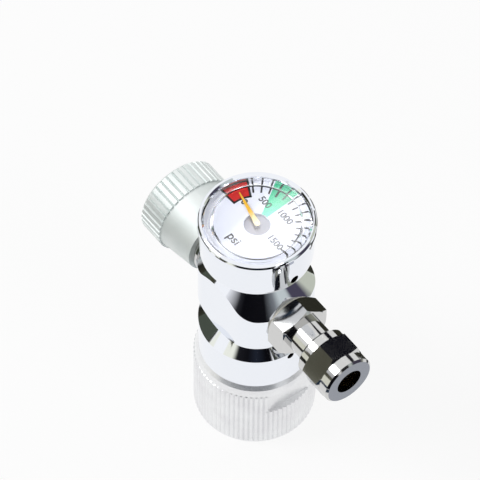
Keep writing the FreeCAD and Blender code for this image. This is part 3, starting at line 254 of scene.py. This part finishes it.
def add_zone(mesh, near, far, first, last):
    """A ring sector between two radii and two angles, swept from its first edge."""
    ends = [mesh.verts.new(on_dial(reach, first)) for reach in (near, far)]
    edge = mesh.edges.new(ends)
    bmesh.ops.spin(mesh, geom=[*ends, edge], cent=(0, 0, 0), axis=(0, 0, 1), steps=12,
                   angle=math.radians(last - first))


def add_bar(mesh, near, far, angle, width):
    """A straight tick along a radius."""
    along = on_dial(1, angle) - on_dial(0, angle)
    across = Vector((-along.y, along.x, 0)).normalized() * width / 2
    start, stop = on_dial(near, angle), on_dial(far, angle)
    corners = (start - across, stop - across, stop + across, start + across)
    mesh.faces.new([mesh.verts.new(spot) for spot in corners])


# Each tick is a hundred, and every fifth one is longer and bolder.
LONG_NEAR, SHORT_NEAR, LONG_WIDE, SHORT_WIDE = 0.0086, 0.0088, 0.00048, 0.0004
ticks = bmesh.new()
for hundred in range(2, 16):
    near, width = (LONG_NEAR, LONG_WIDE) if hundred % 5 == 0 else (SHORT_NEAR, SHORT_WIDE)
    add_bar(ticks, near, SCALE_FAR, ZERO_ANGLE + PER_HUNDRED * hundred, width)
printed("scale_ticks", ticks, black_ink)

# A red sector in a black frame marks the empty end of the scale.
RED_FIRST, RED_LAST = 154.0, 183.5
FRAME_FIRST, FRAME_LAST, FRAME_TURN, FRAME_WIDE = 153.0, 184.5, 0.4, 0.0005
FRAME_NEAR, FRAME_FAR = (0.0076, 0.0081), (0.0117, 0.0121)
red_zone = bmesh.new()
add_zone(red_zone, SCALE_NEAR, SCALE_FAR, RED_FIRST, RED_LAST)
printed("red_zone", red_zone, red_ink)
red_frame = bmesh.new()
add_zone(red_frame, *FRAME_NEAR, FRAME_FIRST, FRAME_LAST)
add_zone(red_frame, *FRAME_FAR, FRAME_FIRST, FRAME_LAST)
for angle in (FRAME_FIRST + FRAME_TURN, FRAME_LAST - FRAME_TURN):
    add_bar(red_frame, FRAME_NEAR[0], FRAME_FAR[1], angle, FRAME_WIDE)
for vertex in red_frame.verts:
    vertex.co.z += INK_THICK / 2
printed("red_zone_frame", red_frame, black_ink)

# A green wedge runs from near the middle to the scale.
GREEN_NEAR, GREEN_FIRST, GREEN_LAST = 0.0030, 94.0, 123.0


def shaded_coat(name, inner, outer, near, far):
    """A coat of ink or lacquer that pales towards the middle of the dial."""
    material, tree = new_material(name)
    place = add_node(tree, "ShaderNodeTexCoord")
    flat = add_node(tree, "ShaderNodeVectorMath", {"operation": "MULTIPLY"},
                    _0=place.outputs["Object"])
    flat.inputs[1].default_value = (1, 1, 0)
    reach = add_node(tree, "ShaderNodeVectorMath", {"operation": "LENGTH"},
                     _0=flat.outputs["Vector"])
    share = add_node(tree, "ShaderNodeMapRange", {"From Min": near, "From Max": far},
                     Value=reach.outputs["Value"])
    tone = add_node(tree, "ShaderNodeValToRGB", Fac=share.outputs["Result"])
    tone.color_ramp.elements[0].color = colour(inner)
    tone.color_ramp.elements[1].color = colour(outer)
    shader = add_node(tree, "ShaderNodeBsdfPrincipled", {"Roughness": 0.45},
                      Base_Color=tone.outputs["Color"])
    add_node(tree, "ShaderNodeOutputMaterial", Surface=shader.outputs["BSDF"])
    return material


green_zone = bmesh.new()
add_zone(green_zone, GREEN_NEAR, SCALE_FAR, GREEN_FIRST, GREEN_LAST)
printed("green_zone", green_zone, shaded_coat("green_pad_ink", "#5CE6B4", "#1FB486", 0.004, 0.0105))

# The figures stand upright on the dial, and the unit is set larger than the numbers.
FIGURE, UNIT, STROKE = 0.0023, 0.0031, 1 / 60


def label(words, across, along, height):
    """Upright figures, made a mesh before they are set in place."""
    curve = bpy.data.curves.new("label_" + words, "FONT")
    curve.body = words
    curve.size = height
    curve.offset = height * STROKE
    curve.align_x = "CENTER"
    curve.align_y = "CENTER"
    text = bpy.data.objects.new("label_" + words, curve)
    bpy.context.collection.objects.link(text)
    bpy.context.view_layer.update()
    data = bpy.data.meshes.new_from_object(text)
    bpy.data.objects.remove(text)
    mesh = bmesh.new()
    mesh.from_mesh(data)
    bpy.data.meshes.remove(data)
    bmesh.ops.translate(mesh, verts=mesh.verts,
                        vec=(across, along, dial_high.z + 1.5 * INK_THICK))
    return mesh


for words, across, along, height in (
        ("0", -0.0067, 0.0014, FIGURE), ("500", -0.0038, 0.0051, FIGURE),
        ("1000", 0.0021, 0.0062, FIGURE), ("1500", 0.0063, 0.0002, FIGURE),
        ("psi", 0.0001, -0.0066, UNIT)):
    printed("figure_" + words, label(words, across, along, height), black_ink)

# The pointer is blanked from brass strip, lacquered golden, and pressed on the arbor. Its round
# root tapers straight to the tip. The lacquer pales towards the root, which is a painted highlight.
pointer_low, pointer_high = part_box("pointer")
POINTER_ANGLE, POINTER_REACH = math.radians(168.0), 0.0095
ROOT_HALF, TIP_HALF = 0.00066, 0.00012
pointer_mesh = bmesh.new()
bmesh.ops.create_circle(pointer_mesh, cap_ends=True, segments=32, radius=ROOT_HALF)
for vertex in pointer_mesh.verts:
    # The front half of the disc is drawn out to the tip.
    if vertex.co.x > ROOT_HALF * 0.1:
        vertex.co.x = POINTER_REACH + (vertex.co.x - ROOT_HALF) * TIP_HALF / ROOT_HALF
        vertex.co.y *= TIP_HALF / ROOT_HALF
raised = bmesh.ops.extrude_face_region(pointer_mesh, geom=pointer_mesh.faces[:])["geom"]
bmesh.ops.translate(pointer_mesh, vec=(0, 0, pointer_high.z - pointer_low.z),
                    verts=[part for part in raised if isinstance(part, bmesh.types.BMVert)])
bmesh.ops.recalc_face_normals(pointer_mesh, faces=pointer_mesh.faces)
bmesh.ops.transform(pointer_mesh, verts=pointer_mesh.verts,
                    matrix=Matrix.Translation((0, 0, pointer_low.z))
                    @ Matrix.Rotation(POINTER_ANGLE, 4, "Z"))
# The pale inner colour is a painted highlight on the pointer's root.
golden_lacquer_painted_highlight = shaded_coat("golden_lacquer_painted_highlight", "#F8EBC0", "#EBB62C", 0.0004, 0.0036)
pointer = make_piece("tapered_pointer", pointer_mesh, golden_lacquer_painted_highlight)
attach(pointer, "pointer")
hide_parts("pointer")

# The lens is turned from clear polycarbonate, flat with a bevelled edge, and is held under the
# bezel's lip. A foot ring on its underside stands round the scale, just clear of the dial.
lens_material, lens_tree = new_material("clear_polycarbonate")
lens_shader = add_node(lens_tree, "ShaderNodeBsdfPrincipled", {
    "Base Color": colour("#FFFFFF"), "Roughness": 0.02, "IOR": 1.5, "Transmission Weight": 1.0})
clear = add_node(lens_tree, "ShaderNodeBsdfTransparent")
path = add_node(lens_tree, "ShaderNodeLightPath")
mixed = add_node(lens_tree, "ShaderNodeMixShader", Fac=path.outputs["Is Shadow Ray"],
                 _1=lens_shader.outputs["BSDF"], _2=clear.outputs["BSDF"])
add_node(lens_tree, "ShaderNodeOutputMaterial", Surface=mixed.outputs["Shader"])
lens_low, lens_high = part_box("gauge_lens")
LENS_RIM, LENS_EDGE, EDGE_SLOPE = 0.0005, 0.012, 0.0005
FOOT_NEAR, FOOT_FAR, FOOT_ROUND, FOOT_GAP = 0.0102, 0.0119, 0.0003, 0.0001
foot_z, rim_z = dial_high.z + FOOT_GAP, lens_low.z + LENS_RIM
profile = (
    (0, lens_low.z), (FOOT_NEAR - FOOT_ROUND, lens_low.z), (FOOT_NEAR, lens_low.z - FOOT_ROUND),
    (FOOT_NEAR, foot_z + FOOT_ROUND), (FOOT_NEAR + FOOT_ROUND, foot_z), (FOOT_FAR, foot_z),
    (FOOT_FAR, lens_low.z), (lens_high.x, lens_low.z), (lens_high.x, rim_z), (LENS_EDGE, rim_z),
    (LENS_EDGE - EDGE_SLOPE / 2, lens_high.z - EDGE_SLOPE / 4),
    (LENS_EDGE - EDGE_SLOPE * 2, lens_high.z), (0, lens_high.z))
lens_mesh = bmesh.new()
spots = [lens_mesh.verts.new((reach, 0, height)) for reach, height in profile]
edges = [lens_mesh.edges.new(pair) for pair in zip(spots, spots[1:])]
bmesh.ops.spin(lens_mesh, geom=[*spots, *edges], cent=(0, 0, 0), axis=(0, 0, 1), steps=128,
               angle=2 * math.pi, use_merge=True)
bmesh.ops.remove_doubles(lens_mesh, verts=lens_mesh.verts, dist=0.000001)
bmesh.ops.recalc_face_normals(lens_mesh, faces=lens_mesh.faces)
lens = make_piece("footed_lens", lens_mesh, lens_material)
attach(lens, "regulator")
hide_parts("gauge_lens")

# The camera looks down on the gauge from the front right, from far off with a long lens. It is set
# a little to the left and above, so that the part sits low in the frame.
AZIMUTH, ELEVATION, ROLL = math.radians(52.4), math.radians(54.5), math.radians(0.63)
DISTANCE, ASIDE, ABOVE = 1.0, -0.00381, 0.00927
back = Vector((math.sin(AZIMUTH) * math.cos(ELEVATION), -math.cos(AZIMUTH) * math.cos(ELEVATION),
               math.sin(ELEVATION)))
right = Vector((math.cos(AZIMUTH), math.sin(AZIMUTH), 0))
up = back.cross(right)
camera_data = bpy.data.cameras.new("camera")
camera_data.lens = 328.6
camera_data.sensor_width = 36.0
camera_data.clip_end = 20.0
camera = bpy.data.objects.new("camera", camera_data)
bpy.context.collection.objects.link(camera)
turned = (right * math.cos(ROLL) + up * math.sin(ROLL),
          up * math.cos(ROLL) - right * math.sin(ROLL), back)
place = Vector((0, 0, AXIS_HEIGHT)) + back * DISTANCE + right * ASIDE + up * ABOVE
camera.matrix_world = Matrix.Translation(place) @ Matrix(turned).transposed().to_4x4()
bpy.context.scene.camera = camera

# The floor is a sheet of white paper, laid flat under the part. It glows nearly white where it is
# seen or mirrored, and the rest of it is plain paper that keeps the part's shadow.
FLOOR_HALF, GLOW_SHARE = 3.0, 0.86


def background_rays(tree):
    """1 on the rays that show the background, straight, mirrored or through glass."""
    path = add_node(tree, "ShaderNodeLightPath")
    straight = add_node(tree, "ShaderNodeMath", {"operation": "MAXIMUM"},
                        _0=path.outputs["Is Camera Ray"], _1=path.outputs["Is Glossy Ray"])
    every = add_node(tree, "ShaderNodeMath", {"operation": "MAXIMUM"},
                     _0=straight.outputs["Value"], _1=path.outputs["Is Transmission Ray"])
    return every.outputs["Value"]


floor_material, floor_tree = new_material("white_paper")
share = add_node(floor_tree, "ShaderNodeMath", {"operation": "MULTIPLY"},
                 _0=background_rays(floor_tree))
share.inputs[1].default_value = GLOW_SHARE
glow = add_node(floor_tree, "ShaderNodeEmission", {"Color": colour("#FFFFFF"), "Strength": 1.0})
paper = add_node(floor_tree, "ShaderNodeBsdfDiffuse", {"Color": colour("#FAFAFA")})
mixed = add_node(floor_tree, "ShaderNodeMixShader", Fac=share.outputs["Value"],
                 _1=paper.outputs["BSDF"], _2=glow.outputs["Emission"])
add_node(floor_tree, "ShaderNodeOutputMaterial", Surface=mixed.outputs["Shader"])
floor_mesh = bmesh.new()
bmesh.ops.create_grid(floor_mesh, x_segments=1, y_segments=1, size=FLOOR_HALF)
floor = make_piece("floor", floor_mesh, floor_material)

# The room is plain white. It shows at full white and lights the part at about half of that.
ROOM_LIGHT = 0.55
world = bpy.data.worlds.new("studio")
bpy.context.scene.world = world
world.use_nodes = True
world.node_tree.nodes.clear()
strength = add_node(world.node_tree, "ShaderNodeMapRange", {"To Min": ROOM_LIGHT, "To Max": 1.0},
                    Value=background_rays(world.node_tree))
sky = add_node(world.node_tree, "ShaderNodeBackground", {"Color": colour("#FFFFFF")},
               Strength=strength.outputs["Result"])
add_node(world.node_tree, "ShaderNodeOutputWorld", Surface=sky.outputs["Background"])

# Curved glowing cards stand round the part, some near and some far, dark in front and pale at the
# sides.
# They are painted reflections: they light nothing, and only the plating and the anodised skin
# reflect them, which gives both their bands.
FAR, NEAR = 0.25, 0.06


def hang_card(name, mesh, material):
    """Puts up a card that lights nothing and shows only as a reflection."""
    piece = make_piece(name, mesh, material)
    piece.visible_camera = False
    piece.visible_diffuse = False
    piece.visible_shadow = False
    return piece


def share_round(angle):
    """An azimuth in degrees as a share of the way round, counted from -X."""
    return angle / 360 + 0.5


def card(name, reach, foot, rise, *bands):
    """A curved card whose colours run from band to band. A band is an azimuth and a colour."""
    first, last = bands[0][0], bands[-1][0]
    turn = math.radians(first)
    mesh = bmesh.new()
    spot = Vector((reach * math.cos(turn), reach * math.sin(turn), foot))
    ends = [mesh.verts.new(spot), mesh.verts.new(spot + Vector((0, 0, rise - foot)))]
    edge = mesh.edges.new(ends)
    bmesh.ops.spin(mesh, geom=[*ends, edge], cent=(0, 0, 0), axis=(0, 0, 1), steps=72,
                   angle=math.radians(last - first))
    material, tree = new_material(name + "_painted_reflection")
    place = add_node(tree, "ShaderNodeTexCoord")
    azimuth = add_node(tree, "ShaderNodeTexGradient", {"gradient_type": "RADIAL"},
                       Vector=place.outputs["Object"])
    tone = add_node(tree, "ShaderNodeValToRGB", Fac=azimuth.outputs["Fac"])
    ramp = tone.color_ramp.elements
    ramp.remove(ramp[1])
    ramp[0].position = share_round(first)
    ramp[0].color = colour(bands[0][1])
    for angle, code in bands[1:]:
        ramp.new(share_round(angle)).color = colour(code)
    glow = add_node(tree, "ShaderNodeEmission", {"Strength": 1.0}, Color=tone.outputs["Color"])
    add_node(tree, "ShaderNodeOutputMaterial", Surface=glow.outputs["Emission"])
    hang_card(name, mesh, material).visible_transmission = False


card("left_card", FAR, 0.0, 0.118, (-174, "#E8E8E4"), (-168, "#20201C"), (-140, "#4A4A3A"),
     (-124, "#161612"), (-119, "#161612"), (-117, "#F6F6E8"))
card("cream_card", FAR, 0.0, 0.13, (-117, "#F6F6E8"), (-92, "#F6F6E8"), (-88, "#F2F2F4"))
card("front_low_card", NEAR, 0.03, 0.071, (-88, "#F6F6E8"), (-74, "#F6F6E8"), (-67, "#1C1C20"),
     (-50, "#101014"), (-36, "#20242E"), (-20, "#0C0C10"), (-12, "#0C0C10"), (-10, "#F4F4F4"),
     (-7, "#F4F4F4"), (-4, "#101014"), (8, "#101014"))
card("front_high_card", NEAR, 0.071, 0.094, (-96, "#F2F2F4"), (-70, "#26262A"), (-60, "#0C0C10"),
     (-22, "#101014"), (-4, "#787C80"), (8, "#C4CBCA"))
card("shoulder_card", NEAR, 0.016, 0.029, (-92, "#F6F6F8"), (-86, "#2A3A4C"), (-12, "#2A3A4C"),
     (-4, "#D8DCE0"), (8, "#D8DCE0"), (14, "#1C222A"), (62, "#1C222A"), (70, "#E8ECF0"))
card("right_card", FAR, 0.0, 0.28, (6, "#C4CBCA"), (27, "#C4CBCA"), (33, "#4A4656"),
     (52, "#4A4656"), (62, "#C5C8B8"), (80, "#C5C8B8"), (88, "#E0E2DC"))
card("back_card", FAR, 0.0, 0.03, (88, "#1C1C18"), (134, "#1C1C1A"))


def small_card(name, middle, facing, wide, tall, code):
    """A small flat glowing card that faces the part, a painted reflection for one facet or one
    piece.
    """
    mesh = bmesh.new()
    bmesh.ops.create_grid(mesh, x_segments=1, y_segments=1, size=0.5)
    bmesh.ops.scale(mesh, vec=(wide, tall, 1), verts=mesh.verts)
    turn = (-Vector(facing)).to_track_quat("Z", "Y").to_matrix().to_4x4()
    bmesh.ops.transform(mesh, matrix=Matrix.Translation(middle) @ turn, verts=mesh.verts)
    material, tree = new_material(name + "_painted_reflection")
    glow = add_node(tree, "ShaderNodeEmission", {"Color": colour(code), "Strength": 1.0})
    add_node(tree, "ShaderNodeOutputMaterial", Surface=glow.outputs["Emission"])
    hang_card(name, mesh, material).visible_transmission = False


# The small cards paint shade into single facets and pieces by reflection: the dark ones darken
# them, and the grey end card on the floor greys the compression nut's end face as shaded floor
# would.
small_card("facet_card", (0.0038, -0.056, 0.0665), (0, -1, 0), 0.0125, 0.014, "#57564A")
small_card("knob_card", (-0.053, -0.049, 0.040), (-0.47, -0.88, 0), 0.050, 0.046, "#4A5046")
small_card("neck_card", (-0.006, -0.056, 0.030), (0, -1, 0), 0.020, 0.018, "#2A2A26")
small_card("top_facet_card", (0.0022, 0.0397, 0.0889), (-0.463, 0.6375, 0.6157), 0.018, 0.016,
           "#14141C")
small_card("strip_card", (0.0856, 0.078, 0.1259), (0.463, 0.6375, 0.6157), 0.026, 0.026, "#22221E")
small_card("behind_card", (-0.0065, 0.050, 0.029), (0, 1, 0), 0.037, 0.056, "#34342C")
small_card("end_card", (0.0575, 0.0188, 0.002), (0, 0, -1), 0.018, 0.018, "#B4B8C2")

# A glowing sheet hangs behind the gauge where its flat lens mirrors it, a painted reflection of a
# soft box that lights nothing.
# It brightens from one corner, which leaves the scale clear on the zero side and washes it out
# towards the full side with painted glare.
BOX_AWAY, BOX_HALF = 0.25, 0.02
DIM_BEFORE, BRIGHT_AFTER, DIM, BRIGHT = -0.0032, 0.0014, 0.03, 4.2
mirror_way = (Vector((-right.y, right.x, 0)) * math.cos(ELEVATION)
              + Vector((0, 0, math.sin(ELEVATION))))
mirror_down = right.cross(mirror_way)
box_middle = Vector((0, 0, dial_high.z)) + mirror_way * BOX_AWAY
box_turn = Matrix((right, mirror_down, mirror_way)).transposed().to_4x4()
box_mesh = bmesh.new()
bmesh.ops.create_grid(box_mesh, x_segments=1, y_segments=1, size=BOX_HALF)
bmesh.ops.transform(box_mesh, matrix=Matrix.Translation(box_middle) @ box_turn,
                    verts=box_mesh.verts)
box_material, box_tree = new_material("soft_box_painted_reflection")
box_place = add_node(box_tree, "ShaderNodeTexCoord")
brightening = (right + mirror_down).normalized()
box_share = add_node(box_tree, "ShaderNodeVectorMath", {"operation": "DOT_PRODUCT"},
                     _0=box_place.outputs["Object"])
box_share.inputs[1].default_value = brightening
middle_share = brightening.dot(box_middle)
box_bright = add_node(box_tree, "ShaderNodeMapRange",
                      {"From Min": middle_share + DIM_BEFORE,
                       "From Max": middle_share + BRIGHT_AFTER, "To Min": DIM, "To Max": BRIGHT},
                      Value=box_share.outputs["Value"])
box_glow = add_node(box_tree, "ShaderNodeEmission", {"Color": colour("#FFFFFF")},
                    Strength=box_bright.outputs["Result"])
add_node(box_tree, "ShaderNodeOutputMaterial", Surface=box_glow.outputs["Emission"])
hang_card("soft_box", box_mesh, box_material)


# Two round lamps with soft covers hang over the part, the stronger at the front left and the other
# at the right.
def lamp(name, place, size, watts):
    """A round lamp that points at the foot of the part."""
    data = bpy.data.lights.new(name, "AREA")
    data.shape = "DISK"
    data.size = size
    data.energy = watts
    light = bpy.data.objects.new(name, data)
    bpy.context.collection.objects.link(light)
    light.location = place
    light.rotation_euler = (-Vector(place)).to_track_quat("-Z", "Y").to_euler()


lamp("key_lamp", (-0.5, -0.6, 0.9), 0.5, 4.5)
lamp("fill_lamp", (0.9, 0.2, 0.7), 0.6, 1.5)

bpy.context.scene.view_settings.view_transform = "Standard"
